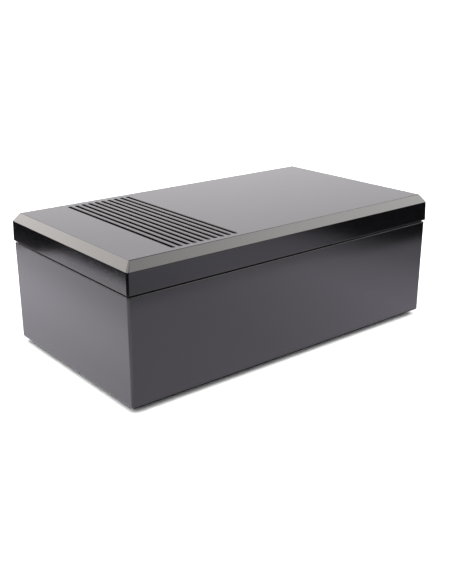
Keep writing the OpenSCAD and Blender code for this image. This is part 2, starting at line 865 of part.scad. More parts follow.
module pilot_neutral_wire() color([0.1, 0.25, 0.6]) wire(pilot_neutral_route);

module cable_ties() color([0.9, 0.9, 0.88])
for (x = tie_places) translate([x - tie_w / 2, tie_y, tie_z]) {
    rotate([90, 0, 90]) linear_extrude(tie_w) difference() {
        slot(tie_inner[0] + 2 * tie_t, tie_inner[1] + 2 * tie_t);
        slot(tie_inner[0], tie_inner[1]);
    }
    translate([(tie_w - tie_head[0]) / 2, tie_inner[0] / 2 + tie_t / 2, -tie_head[2] / 2]) cube(tie_head);
}

raised() base_shell();
raised() lid_shell();
raised() rubber_feet();
raised() case_screws();
raised() rating_plate();
raised() core_laminations();
raised() core_bracket_front();
raised() core_bracket_rear();
raised() core_bolts();
raised() core_nuts();
raised() bracket_screws();
raised() bobbin_left();
raised() bobbin_right();
raised() winding_left();
raised() winding_right();
raised() winding_tape_left();
raised() winding_tape_right();
raised() pole_pads();
raised() thermal_cutout();
raised() inlet_housing();
raised() inlet_pins();
raised() inlet_screws();
raised() inlet_nuts();
raised() fuse_holder();
raised() fuse_holder_nut();
raised() fuse_end_terminal();
raised() fuse_side_terminal();
raised() fuse_cap();
raised() fuse_clip();
raised() fuse_glass();
raised() fuse_end_caps();
raised() fuse_element();
raised() button_bushing();
raised() button_nut();
raised() button_cap();
raised() button_plunger();
raised() button_spring();
raised() contact_bridge();
raised() switch_base();
raised() switch_terminals();
raised() pilot_bezel();
raised() pilot_nut();
raised() pilot_lens();
raised() neon_bulb();
raised() neon_electrodes();
raised() ballast_resistor();
raised() inlet_fuse_wire();
raised() fuse_switch_wire();
raised() switch_cutout_wire();
raised() cutout_coil_wire();
raised() coil_link_wire();
raised() neutral_wire();
raised() pilot_live_wire();
raised() pilot_neutral_wire();
raised() cable_ties();
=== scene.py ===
import json
from math import cos, pi, radians, sin

import bmesh
import bpy
from mathutils import Matrix, Quaternion, Vector


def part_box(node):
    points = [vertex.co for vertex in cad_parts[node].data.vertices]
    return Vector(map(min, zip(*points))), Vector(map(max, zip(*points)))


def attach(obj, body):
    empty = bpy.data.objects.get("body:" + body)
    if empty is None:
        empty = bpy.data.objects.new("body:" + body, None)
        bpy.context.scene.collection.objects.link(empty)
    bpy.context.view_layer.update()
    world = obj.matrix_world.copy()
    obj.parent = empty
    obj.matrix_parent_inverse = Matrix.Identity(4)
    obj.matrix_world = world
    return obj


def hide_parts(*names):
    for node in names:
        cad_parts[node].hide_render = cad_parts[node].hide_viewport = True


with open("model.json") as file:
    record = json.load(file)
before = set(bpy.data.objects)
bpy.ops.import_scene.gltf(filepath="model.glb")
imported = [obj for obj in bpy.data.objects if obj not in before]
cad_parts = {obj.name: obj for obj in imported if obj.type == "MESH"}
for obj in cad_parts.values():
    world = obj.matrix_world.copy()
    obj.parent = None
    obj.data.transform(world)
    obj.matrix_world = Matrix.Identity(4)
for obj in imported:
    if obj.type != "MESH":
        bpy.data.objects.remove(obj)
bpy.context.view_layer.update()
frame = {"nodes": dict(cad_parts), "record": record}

mm = 0.001
tiny = 1e-7
slotOfNode = {s["node"]: s["material_slot"] for s in frame["record"]["subparts"]}
caseLow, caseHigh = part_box("base_shell")
lidLow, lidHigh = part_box("lid_shell")
print("frame loaded:", len(frame["nodes"]), "nodes")


# ---- camera ----
cameraPlace = {
    "azimuth": -38.97,
    "elevation": 20.0,
    "roll": -0.07,
    "lens": 50.7,
    "distance": 0.418,
    "aim": (0.0067, 0.0099, 0.0140),
}


def makeCamera(place):
    turn, tilt = radians(place["azimuth"]), radians(place["elevation"])
    back = Vector((sin(turn) * cos(tilt), -cos(turn) * cos(tilt), sin(tilt)))
    data = bpy.data.cameras.new("benchCamera")
    data.lens = place["lens"]
    data.sensor_width = 36
    data.clip_start, data.clip_end = 0.01, 20
    camera = bpy.data.objects.new("benchCamera", data)
    camera.location = Vector(place["aim"]) + back * place["distance"]
    camera.rotation_mode = "QUATERNION"
    roll = Quaternion((0, 0, 1), radians(place["roll"]))
    camera.rotation_quaternion = (-back).to_track_quat("-Z", "Y") @ roll
    bpy.context.scene.collection.objects.link(camera)
    bpy.context.scene.camera = camera
    return camera


makeCamera(cameraPlace)
print("camera placed")


# ---- small node helpers ----
def addNode(tree, kind, place=(0, 0), **settings):
    node = tree.nodes.new(kind)
    node.location = place
    for key, value in settings.items():
        setattr(node, key, value)
    return node


def addSocket(tree, name, side, kind, default=None, low=None, high=None):
    socket = tree.interface.new_socket(name=name, in_out=side, socket_type=kind)
    if default is not None:
        socket.default_value = default
    if low is not None:
        socket.min_value, socket.max_value = low, high
    return socket


# ---- shared surface effects, as node groups ----
def makeMouldGrain():
    # fine pebbled texture of a moulded surface, and a slow drift in gloss
    tree = bpy.data.node_groups.new("mouldGrain", "ShaderNodeTree")
    addSocket(tree, "Scale", "INPUT", "NodeSocketFloat", 2500.0, 1.0, 20000.0)
    addSocket(tree, "Drift Scale", "INPUT", "NodeSocketFloat", 35.0, 1.0, 500.0)
    addSocket(tree, "Height", "OUTPUT", "NodeSocketFloat")
    addSocket(tree, "Drift", "OUTPUT", "NodeSocketFloat")
    source = addNode(tree, "NodeGroupInput", (-700, 0))
    sink = addNode(tree, "NodeGroupOutput", (500, 0))
    coords = addNode(tree, "ShaderNodeTexCoord", (-700, -200))
    fine = addNode(tree, "ShaderNodeTexNoise", (-400, 150))
    fine.inputs["Detail"].default_value = 3.0
    pits = addNode(tree, "ShaderNodeTexVoronoi", (-400, -150))
    drift = addNode(tree, "ShaderNodeTexNoise", (-400, -450))
    drift.inputs["Detail"].default_value = 4.0
    drift.inputs["Roughness"].default_value = 0.6
    wide = addNode(tree, "ShaderNodeTexNoise", (-400, 400))
    wider = addNode(tree, "ShaderNodeMath", (-600, 400), operation="MULTIPLY")
    wider.inputs[1].default_value = 0.3    # waves this much coarser than the grain
    tree.links.new(source.outputs["Scale"], wider.inputs[0])
    tree.links.new(wider.outputs[0], wide.inputs["Scale"])
    tree.links.new(coords.outputs["Object"], wide.inputs["Vector"])
    mix = addNode(tree, "ShaderNodeMath", (-100, 50), operation="MULTIPLY_ADD")
    mix.inputs[1].default_value = 0.45     # share of the pits
    both = addNode(tree, "ShaderNodeMath", (100, 200), operation="MULTIPLY_ADD")
    both.inputs[1].default_value = 0.6     # share of the waves
    tree.links.new(wide.outputs["Fac"], both.inputs[0])
    tree.links.new(mix.outputs[0], both.inputs[2])
    for texture, socket in ((fine, "Scale"), (pits, "Scale"), (drift, "Drift Scale")):
        tree.links.new(coords.outputs["Object"], texture.inputs["Vector"])
        tree.links.new(source.outputs[socket], texture.inputs["Scale"])
    tree.links.new(pits.outputs["Distance"], mix.inputs[0])
    tree.links.new(fine.outputs["Fac"], mix.inputs[2])
    tree.links.new(both.outputs[0], sink.inputs["Height"])
    tree.links.new(drift.outputs["Fac"], sink.inputs["Drift"])
    return tree


def makeEdgeWearAndHighlight():
    # how near a point is to an edge, broken up so that it is uneven; it marks where the colour is lightened,
    # partly as wear and partly as a painted highlight
    tree = bpy.data.node_groups.new("edgeWearAndHighlight", "ShaderNodeTree")
    addSocket(tree, "Width", "INPUT", "NodeSocketFloat", 0.0006, 0.0, 0.01)
    addSocket(tree, "Amount", "INPUT", "NodeSocketFloat", 1.0, 0.0, 4.0)
    addSocket(tree, "Mask", "OUTPUT", "NodeSocketFloat")
    source = addNode(tree, "NodeGroupInput", (-900, 0))
    sink = addNode(tree, "NodeGroupOutput", (500, 0))
    soft = addNode(tree, "ShaderNodeBevel", (-650, 120), samples=4)
    plain = addNode(tree, "ShaderNodeNewGeometry", (-650, -80))
    dot = addNode(tree, "ShaderNodeVectorMath", (-420, 60), operation="DOT_PRODUCT")
    flip = addNode(tree, "ShaderNodeMath", (-240, 60), operation="SUBTRACT")
    flip.inputs[0].default_value = 1.0
    gain = addNode(tree, "ShaderNodeMath", (-60, 60), operation="MULTIPLY")
    patchy = addNode(tree, "ShaderNodeTexNoise", (-420, -220))
    patchy.inputs["Scale"].default_value = 160.0
    patchy.inputs["Detail"].default_value = 5.0
    coords = addNode(tree, "ShaderNodeTexCoord", (-650, -320))
    ramp = addNode(tree, "ShaderNodeMapRange", (-180, -220))
    ramp.inputs["From Min"].default_value = 0.35
    ramp.inputs["From Max"].default_value = 0.7
    both = addNode(tree, "ShaderNodeMath", (120, 0), operation="MULTIPLY")
    clamp = addNode(tree, "ShaderNodeClamp", (300, 0))
    tree.links.new(source.outputs["Width"], soft.inputs["Radius"])
    tree.links.new(soft.outputs["Normal"], dot.inputs[0])
    tree.links.new(plain.outputs["Normal"], dot.inputs[1])
    tree.links.new(dot.outputs["Value"], flip.inputs[1])
    tree.links.new(flip.outputs[0], gain.inputs[0])
    tree.links.new(source.outputs["Amount"], gain.inputs[1])
    tree.links.new(coords.outputs["Object"], patchy.inputs["Vector"])
    tree.links.new(patchy.outputs["Fac"], ramp.inputs["Value"])
    tree.links.new(gain.outputs[0], both.inputs[0])
    tree.links.new(ramp.outputs["Result"], both.inputs[1])
    tree.links.new(both.outputs[0], clamp.inputs["Value"])
    tree.links.new(clamp.outputs["Result"], sink.inputs["Mask"])
    return tree


def makeDrawnLines():
    # fine parallel marks left by drawing, turning or winding, along one axis
    tree = bpy.data.node_groups.new("drawnLines", "ShaderNodeTree")
    addSocket(tree, "Stretch", "INPUT", "NodeSocketVector", (40.0, 2500.0, 2500.0))
    addSocket(tree, "Height", "OUTPUT", "NodeSocketFloat")
    source = addNode(tree, "NodeGroupInput", (-700, 0))
    sink = addNode(tree, "NodeGroupOutput", (300, 0))
    coords = addNode(tree, "ShaderNodeTexCoord", (-700, -200))
    scaled = addNode(tree, "ShaderNodeVectorMath", (-450, 0), operation="MULTIPLY")
    lines = addNode(tree, "ShaderNodeTexNoise", (-200, 0))
    lines.inputs["Scale"].default_value = 1.0
    lines.inputs["Detail"].default_value = 3.0
    tree.links.new(coords.outputs["Object"], scaled.inputs[0])
    tree.links.new(source.outputs["Stretch"], scaled.inputs[1])
    tree.links.new(scaled.outputs["Vector"], lines.inputs["Vector"])
    tree.links.new(lines.outputs["Fac"], sink.inputs["Height"])
    return tree


mouldGrain = makeMouldGrain()
edgeWearAndHighlight = makeEdgeWearAndHighlight()
drawnLines = makeDrawnLines()


# ---- materials, one for each finish in the record ----
def startMaterial(name):
    material = bpy.data.materials.new(name)
    material.use_nodes = True
    tree = material.node_tree
    tree.nodes.clear()
    shader = addNode(tree, "ShaderNodeBsdfPrincipled", (300, 0))
    output = addNode(tree, "ShaderNodeOutputMaterial", (620, 0))
    tree.links.new(shader.outputs["BSDF"], output.inputs["Surface"])
    return material, tree, shader


def useGroup(tree, group, place, **values):
    node = addNode(tree, "ShaderNodeGroup", place, node_tree=group)
    for key, value in values.items():
        node.inputs[key.replace("_", " ")].default_value = value
    return node


def blendValue(tree, factor, low, high, place):
    node = addNode(tree, "ShaderNodeMapRange", place)
    node.inputs["To Min"].default_value = low
    node.inputs["To Max"].default_value = high
    tree.links.new(factor, node.inputs["Value"])
    return node.outputs["Result"]


def blendColour(tree, factor, first, second, place):
    node = addNode(tree, "ShaderNodeMix", place, data_type="RGBA")
    node.inputs["A"].default_value = (*first, 1.0)
    node.inputs["B"].default_value = (*second, 1.0)
    tree.links.new(factor, node.inputs["Factor"])
    return node.outputs["Result"]


def addBump(tree, shader, height, strength, distance):
    bump = addNode(tree, "ShaderNodeBump", (80, -300))
    bump.inputs["Strength"].default_value = strength
    bump.inputs["Distance"].default_value = distance
    tree.links.new(height, bump.inputs["Height"])
    tree.links.new(bump.outputs["Normal"], shader.inputs["Normal"])


def mouldedPlastic(name, look):
    # look: colour, colour at edges (lighter: partly wear, partly a painted highlight), gloss (roughness low,
    # high), grain, depth, bump
    material, tree, shader = startMaterial(name)
    grain = useGroup(tree, mouldGrain, (-700, -100), Scale=look["grain"], Drift_Scale=look["drift"])
    # edges take a lighter colour: partly wear, partly a painted highlight
    wear = useGroup(tree, edgeWearAndHighlight, (-700, 200), Width=look["wearWidth"], Amount=look["wear"])
    colour = blendColour(tree, wear.outputs["Mask"], look["colour"], look["edgeWearAndHighlightColour"], (-100, 250))
    tree.links.new(colour, shader.inputs["Base Color"])
    gloss = blendValue(tree, grain.outputs["Drift"], *look["gloss"], (-100, 0))
    tree.links.new(gloss, shader.inputs["Roughness"])
    shader.inputs["IOR"].default_value = look.get("ior", 1.5)
    addBump(tree, shader, grain.outputs["Height"], look["bump"], look["depth"])
    return material


def platedMetal(name, look):
    # look: colour, tarnish, gloss, stretch (of the drawn lines), bump
    material, tree, shader = startMaterial(name)
    lines = useGroup(tree, drawnLines, (-700, -200), Stretch=look["stretch"])
    grain = useGroup(tree, mouldGrain, (-700, 100), Scale=900.0, Drift_Scale=look["drift"])
    colour = blendColour(tree, grain.outputs["Drift"], look["colour"], look["tarnish"], (-100, 250))
    tree.links.new(colour, shader.inputs["Base Color"])
    gloss = blendValue(tree, lines.outputs["Height"], *look["gloss"], (-100, 0))
    tree.links.new(gloss, shader.inputs["Roughness"])
    shader.inputs["Metallic"].default_value = 1.0
    addBump(tree, shader, lines.outputs["Height"], look["bump"], 0.04 * mm)
    return material


def clearMaterial(name, look):
    material, tree, shader = startMaterial(name)
    grain = useGroup(tree, mouldGrain, (-700, 0), Scale=look["grain"], Drift_Scale=60.0)
    colour = blendColour(tree, grain.outputs["Drift"], look["colour"], look["shade"], (-100, 250))
    tree.links.new(colour, shader.inputs["Base Color"])
    gloss = blendValue(tree, grain.outputs["Drift"], *look["gloss"], (-100, 0))
    tree.links.new(gloss, shader.inputs["Roughness"])
    shader.inputs["Transmission Weight"].default_value = look["clear"]
    shader.inputs["IOR"].default_value = look["ior"]
    addBump(tree, shader, grain.outputs["Height"], 0.05, 0.02 * mm)
    return material


def plasticLook(colour, edgeWearAndHighlightColour, gloss, grain=2600.0, bump=0.12, wear=0.6, **more):
    look = {"colour": colour, "edgeWearAndHighlightColour": edgeWearAndHighlightColour, "gloss": gloss, "grain": grain, "drift": 30.0}
    look.update({"bump": bump, "depth": 0.05 * mm, "wear": wear, "wearWidth": 0.6 * mm}, **more)
    return look


# the second colour is the lighter edge colour: partly wear, partly a painted highlight
plasticLooks = {
    "case_plastic": plasticLook((0.0025, 0.0025, 0.003), (0.008, 0.008, 0.008), (0.08, 0.15), 2000.0, 0.16),
    "fitting_plastic": plasticLook((0.018, 0.018, 0.019), (0.06, 0.06, 0.06), (0.38, 0.55), 1800.0, 0.2),
    "foot_rubber": plasticLook((0.022, 0.022, 0.022), (0.05, 0.05, 0.05), (0.65, 0.85), 1200.0, 0.35),
    "button_plastic": plasticLook((0.42, 0.015, 0.012), (0.55, 0.05, 0.04), (0.16, 0.28), 2200.0, 0.05),
    "bobbin_nylon": plasticLook((0.66, 0.62, 0.50), (0.75, 0.72, 0.62), (0.35, 0.5), 1500.0, 0.1),
    "phenolic": plasticLook((0.13, 0.055, 0.025), (0.25, 0.13, 0.07), (0.3, 0.5), 900.0, 0.15),
    "winding_tape": plasticLook((0.62, 0.46, 0.06), (0.7, 0.55, 0.15), (0.25, 0.4), 400.0, 0.1),
    "resistor_ceramic": plasticLook((0.52, 0.40, 0.24), (0.6, 0.5, 0.35), (0.35, 0.5), 1200.0, 0.2),
    "wire_brown": plasticLook((0.16, 0.065, 0.025), (0.25, 0.12, 0.06), (0.3, 0.45), 800.0, 0.08),
    "wire_blue": plasticLook((0.03, 0.09, 0.36), (0.08, 0.15, 0.45), (0.3, 0.45), 800.0, 0.08),
    "wire_white": plasticLook((0.72, 0.71, 0.66), (0.78, 0.77, 0.72), (0.35, 0.5), 800.0, 0.08),
    "plate_foil": plasticLook((0.42, 0.42, 0.42), (0.6, 0.6, 0.6), (0.28, 0.42), 600.0, 0.1),
}
metalLooks = {
    "core_steel": {"colour": (0.30, 0.30, 0.32), "tarnish": (0.20, 0.17, 0.14), "gloss": (0.35, 0.6),
                   "stretch": (60.0, 3000.0, 60.0), "drift": 90.0, "bump": 0.4},
    "zinc_steel": {"colour": (0.62, 0.62, 0.60), "tarnish": (0.50, 0.50, 0.47), "gloss": (0.28, 0.45),
                   "stretch": (900.0, 900.0, 900.0), "drift": 200.0, "bump": 0.2},
    "spring_steel": {"colour": (0.45, 0.45, 0.46), "tarnish": (0.33, 0.32, 0.30), "gloss": (0.25, 0.4),
                     "stretch": (900.0, 900.0, 900.0), "drift": 200.0, "bump": 0.1},
    "nickel": {"colour": (0.52, 0.50, 0.46), "tarnish": (0.40, 0.38, 0.34), "gloss": (0.14, 0.28),
               "stretch": (500.0, 2500.0, 2500.0), "drift": 120.0, "bump": 0.15},
    "contact_brass": {"colour": (0.76, 0.55, 0.24), "tarnish": (0.52, 0.36, 0.17), "gloss": (0.22, 0.4),
                      "stretch": (2200.0, 300.0, 2200.0), "drift": 150.0, "bump": 0.2},
    "copper_winding": {"colour": (0.66, 0.22, 0.09), "tarnish": (0.42, 0.12, 0.05), "gloss": (0.2, 0.4),
                       "stretch": (25.0, 25.0, 2600.0), "drift": 80.0, "bump": 1.0},
}
clearLooks = {
    "clear_glass": {"colour": (0.95, 0.97, 0.97), "shade": (0.88, 0.92, 0.92), "gloss": (0.02, 0.06),
                    "grain": 300.0, "clear": 1.0, "ior": 1.5},
    "pilot_plastic": {"colour": (0.80, 0.10, 0.02), "shade": (0.62, 0.06, 0.01), "gloss": (0.08, 0.18),
                      "grain": 500.0, "clear": 0.55, "ior": 1.49},
}
finishes = {name: mouldedPlastic(name, look) for name, look in plasticLooks.items()}
finishes.update({name: platedMetal(name, look) for name, look in metalLooks.items()})
finishes.update({name: clearMaterial(name, look) for name, look in clearLooks.items()})
print("materials made:", len(finishes))


# ---- mesh helpers ----
roundTurn = [radians(d) for d in (0, 22, 45, 68, 90)]
cadCleaning = {"merge": 0.002 * mm, "sliver": 0.001 * mm, "flatDegrees": 0.6}


def objectFrom(bm, name):
    mesh = bpy.data.meshes.new(name)
    bm.to_mesh(mesh)
    bm.free()
    made = bpy.data.objects.new(name, mesh)
    bpy.context.scene.collection.objects.link(made)
    return made


def shadeByAngle(piece, degrees=32):
    mesh = piece.data
    mesh.polygons.foreach_set("use_smooth", [True] * len(mesh.polygons))
    mesh.set_sharp_from_angle(angle=radians(degrees))
    weighted = piece.modifiers.new("faceWeighted", "WEIGHTED_NORMAL")
    weighted.keep_sharp = True
    weighted.weight = 100


def place(piece, body, nodes):
    finish = slotOfNode[nodes[0]]
    piece.data.materials.clear()
    piece.data.materials.append(finishes[finish])
    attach(piece, body)
    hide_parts(*nodes)
    return piece


def roundedRing(halfX, halfY, radius, z, steps):
    # corner points of a rounded rectangle, counter-clockwise from +X, -Y
    points = []
    for quarter in range(4):
        signX = 1 if quarter in (0, 1) else -1
        signY = 1 if quarter in (1, 2) else -1
        for step in range(steps + 1):
            angle = -pi / 2 + quarter * pi / 2 + step / steps * pi / 2
            points.append((signX * (halfX - radius) + radius * cos(angle),
                           signY * (halfY - radius) + radius * sin(angle), z))
    return points


def filletPath(corners, steps=4):
    # corners: (across, height, radius) in order round a closed section
    path = []
    count = len(corners)
    for i, (across, height, radius) in enumerate(corners):
        here = Vector((across, height))
        if radius <= 0:
            path.append(here)
            continue
        before = (Vector(corners[i - 1][:2]) - here).normalized()
        after = (Vector(corners[(i + 1) % count][:2]) - here).normalized()
        half = before.angle(after) / 2
        reach = radius / abs(sin(half) / cos(half))
        centre = here + (before + after).normalized() * (radius / sin(half))
        first = here + before * reach - centre
        last = here + after * reach - centre
        sweep = first.angle(last)
        for step in range(steps + 1):
            part = sweep * step / steps
            path.append(centre + (first * sin(sweep - part) + last * sin(part)) / sin(sweep))
    return path


def loft(bm, rings, closed=False):
    # joins rings of equal length with quads, and returns the rings' vertices
    made = [[bm.verts.new(p) for p in ring] for ring in rings]
    pairs = list(zip(made, made[1:]))
    if closed:
        pairs.append((made[-1], made[0]))
    for lower, upper in pairs:
        count = len(lower)
        for i in range(count):
            j = (i + 1) % count
            bm.faces.new((lower[i], lower[j], upper[j], upper[i]))
    return made


def lathe(bm, path, centre, segments=32):
    # turns a path of (radius, height) about a Z line through centre; ends on the axis are closed
    rings = []
    for radius, height in path:
        if radius < tiny:
            rings.append([bm.verts.new((centre[0], centre[1], height))])
            continue
        rings.append([
            bm.verts.new((centre[0] + radius * cos(2 * pi * k / segments),
                          centre[1] + radius * sin(2 * pi * k / segments), height))
            for k in range(segments)
        ])
    for lower, upper in zip(rings, rings[1:]):
        for k in range(segments):
            n = (k + 1) % segments
            if len(lower) == 1:
                bm.faces.new((lower[0], upper[n], upper[k]))
            elif len(upper) == 1:
                bm.faces.new((lower[k], lower[n], upper[0]))
            else:
                bm.faces.new((lower[k], lower[n], upper[n], upper[k]))
    bmesh.ops.recalc_face_normals(bm, faces=bm.faces)


def cadCopy(node):
    # a merged copy of a CAD node's mesh, with its flat faces made whole
    bm = bmesh.new()
    bm.from_mesh(frame["nodes"][node].data)
    bmesh.ops.remove_doubles(bm, verts=bm.verts, dist=cadCleaning["merge"])
    bmesh.ops.dissolve_degenerate(bm, edges=bm.edges, dist=cadCleaning["sliver"])
    bmesh.ops.dissolve_limit(bm, angle_limit=radians(cadCleaning["flatDegrees"]), verts=bm.verts,
                             edges=bm.edges, use_dissolve_boundaries=False)
    return bm


def sharpEdges(bm, degrees=35):
    return [e for e in bm.edges if len(e.link_faces) == 2 and e.calc_face_angle(0) > radians(degrees)]


def bevel(bm, edges, width, segments=3):
    if edges:
        bmesh.ops.bevel(bm, geom=edges, offset=width, segments=segments, profile=0.5,
                        affect="EDGES", clamp_overlap=True, harden_normals=False)


def softenedPiece(node, name, body, width, segments=3):
    bm = cadCopy(node)
    bevel(bm, sharpEdges(bm), width, segments)
    piece = objectFrom(bm, name)
    shadeByAngle(piece)
    return place(piece, body, [node])


def settle(piece, modifier):
    # keeps what the modifier makes as the piece's own plain mesh
    bpy.context.view_layer.update()
    evaluated = piece.evaluated_get(bpy.context.evaluated_depsgraph_get())
    mesh = bpy.data.meshes.new_from_object(evaluated)
    piece.modifiers.remove(modifier)
    piece.data = mesh


def runNodes(carrier, tree, values):
    # runs a Geometry Nodes tree on an object, whose mesh becomes the result
    modifier = carrier.modifiers.new("build", "NODES")
    modifier.node_group = tree
    for item in tree.interface.items_tree:
        if item.item_type == "SOCKET" and item.in_out == "INPUT" and item.name in values:
            modifier[item.identifier] = values[item.name]
    settle(carrier, modifier)


def discard(*objects):
    for o in objects:
        bpy.data.objects.remove(o)


# ---- lid ----
grooves = {
    "count": 10,
    "pitch": 3.52 * mm,
    "first": 25.7 * mm,      # from the base's left end to the first groove's middle
    "width": 2.1 * mm,
    "frontEnd": 42.7 * mm,   # from the case's middle line to the grooves' front ends
    "backEnd": 41.5 * mm,
    "depth": 1.3 * mm,
    "rim": 0.3 * mm,         # round edge where a groove meets the top
    "rimTurn": [radians(d) for d in (0, 18, 36, 54, 70, 84)],
    "floorRound": 0.35 * mm,
    "overshoot": 0.5 * mm,   # of the cutter above the top
    "endSteps": 10,
}
lidShape = {
    "bandTop": 3.8 * mm,     # below the top
    "bandDraft": 0.25 * mm,  # how far the upright band leans in
    "chamferIn": 3.1 * mm,
    "wall": 3.85 * mm,
    "topThickness": 2.8 * mm,
    "tongueOut": 3.05 * mm,
    "tongueIn": 4.65 * mm,
    "tongueStep": 1.0 * mm,
    "tongueEdge": 0.2 * mm,
    "ceilingEdge": 0.5 * mm,
    "cornerRadius": 1.0 * mm,
    "topCorner": 0.3 * mm,
    "innerCorner": 0.8 * mm,
    "cornerSteps": 6,
    "seamGap": 0.9 * mm,     # open height of the shadow line above the base
    "seamDepth": 1.3 * mm,
    "seamEdge": 0.2 * mm,
    "lowerEdge": 0.35 * mm,
    "upperEdge": 0.45 * mm,
}
lidBoss = {
    "inset": 7.1 * mm,       # from the base's sides
    "radius": 4.2 * mm,
    "bore": 1.78 * mm,
    "boreDepth": 4.8 * mm,   # from the lid's top down to the bore's end
    "foot": 4.0 * mm,        # below the seam
    "overlap": 0.3 * mm,     # into the lid's top
    "segments": 40,
}


def makeLidBlank(shape):
    top, seam = lidHigh.z, caseHigh.z
    halfX, halfY = lidHigh.x, lidHigh.y
    low = lidLow.z
    flat = 2 * shape["tongueIn"]   # rings this far in are capped to make the top and the ceiling
    section = filletPath([
        (shape["tongueOut"], low, shape["tongueEdge"]),
        (shape["tongueOut"], seam, 0),
        (shape["seamDepth"], seam, 0),
        (shape["seamDepth"], seam + shape["seamGap"], 0),
        (0, seam + shape["seamGap"], shape["seamEdge"]),
        (shape["bandDraft"], top - shape["bandTop"], shape["lowerEdge"]),
        (shape["chamferIn"], top, shape["upperEdge"]),
        (flat, top, 0),
        (flat, top - shape["topThickness"], 0),
        (shape["wall"], top - shape["topThickness"], shape["ceilingEdge"]),
        (shape["wall"], seam + shape["tongueStep"], 0),
        (shape["tongueIn"], seam + shape["tongueStep"], 0),
        (shape["tongueIn"], low, shape["tongueEdge"]),
    ], steps=5)
    pastChamfer = shape["chamferIn"] * 1.2
    rings = []
    for inset, z in section:
        climb = max(0.0, (z - (top - shape["bandTop"])) / shape["bandTop"])
        radius = shape["cornerRadius"] + (shape["topCorner"] - shape["cornerRadius"]) * min(1, climb)
        if inset > pastChamfer or z < seam:
            radius = shape["innerCorner"]
        rings.append(roundedRing(halfX - inset, halfY - inset, radius, z, shape["cornerSteps"]))
    bm = bmesh.new()
    made = loft(bm, rings, closed=True)
    topRing, ceilingRing = [ring for ring, (inset, _) in zip(made, section) if abs(inset - flat) < tiny]
    # the loft also joined these two rings to each other: open that wall and cap both instead
    doomed = [f for f in bm.faces if all(v in topRing or v in ceilingRing for v in f.verts)]
    bmesh.ops.delete(bm, geom=doomed, context="FACES")
    bm.faces.new(topRing)
    bm.faces.new(list(reversed(ceilingRing)))
    bmesh.ops.recalc_face_normals(bm, faces=bm.faces)
    return objectFrom(bm, "case_lid")


def makeGrooveCutter(shape):
    # one groove's hollow: round ends, a rounded floor and a flared rim, with its top on z = 0
    half, reach = shape["width"] / 2, (shape["frontEnd"] + shape["backEnd"]) / 2
    depth, rim, foot = shape["depth"], shape["rim"], shape["floorRound"]
    section = [(half - foot + foot * sin(a), -depth + foot - foot * cos(a)) for a in roundTurn]
    section += [(half + rim - rim * cos(a), -rim + rim * sin(a)) for a in shape["rimTurn"]]
    section += [(half + rim, shape["overshoot"])]
    rings = []
    for across, z in section:
        across -= rim / 2
        outline = slotOutline(across, reach - half + across, shape["endSteps"])
        rings.append([(x, y, z) for x, y in outline])
    bm = bmesh.new()
    made = loft(bm, rings)
    bm.faces.new(list(reversed(made[0])))
    bm.faces.new(made[-1])
    bmesh.ops.recalc_face_normals(bm, faces=bm.faces)
    return objectFrom(bm, "grooveCutter")


def slotOutline(radius, reach, steps):
    # half width is radius, half length is reach, along Y
    outline = []
    for end in (1, -1):
        for step in range(steps + 1):
            angle = pi * step / steps + (0 if end == 1 else pi)
            outline.append((radius * cos(angle), end * (reach - radius) + radius * sin(angle)))
    return outline


def makeLidBosses(boss):
    bm = bmesh.new()
    root = lidHigh.z - lidShape["topThickness"] + boss["overlap"]
    end, foot = lidHigh.z - boss["boreDepth"], caseHigh.z - boss["foot"]
    for x in (-1, 1):
        for y in (-1, 1):
            centre = (x * (caseHigh.x - boss["inset"]), y * (caseHigh.y - boss["inset"]))
            lathe(bm, [(0, end), (boss["bore"], end), (boss["bore"], foot), (boss["radius"], foot),
                       (boss["radius"], root), (0, root)], centre, boss["segments"])
    return objectFrom(bm, "lidBosses")


